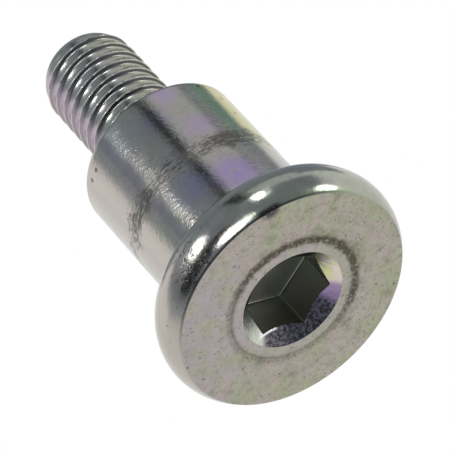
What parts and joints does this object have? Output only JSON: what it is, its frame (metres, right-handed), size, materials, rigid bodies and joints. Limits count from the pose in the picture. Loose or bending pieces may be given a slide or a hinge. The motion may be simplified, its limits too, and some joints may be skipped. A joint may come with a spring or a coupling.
{
  "type": "shoulder bolt",
  "caption": "Shoulder bolt with a wide flat barrel-edged head, a hexagon socket, a plain running shoulder and a reduced threaded shank.",
  "frame": {"origin": "centre of the head's flat face, on the bolt's axis, at the lowest point: the bolt stands head down", "axes": "+Z along the bolt's axis, from the head's face to the thread's point; two flats of the key socket are square to X"},
  "size_m": [0.0202, 0.0202, 0.0325],
  "materials": {
    "zinc_plated_steel": "bright zinc plate with an iridescent passivate, satin on the face and shoulder and bright on the head's edge and the thread, with fine pits, rub marks and grime round the socket"
  },
  "bodies": {
    "root": {"shoulder_bolt": "zinc_plated_steel"}
  },
  "joints": []
}
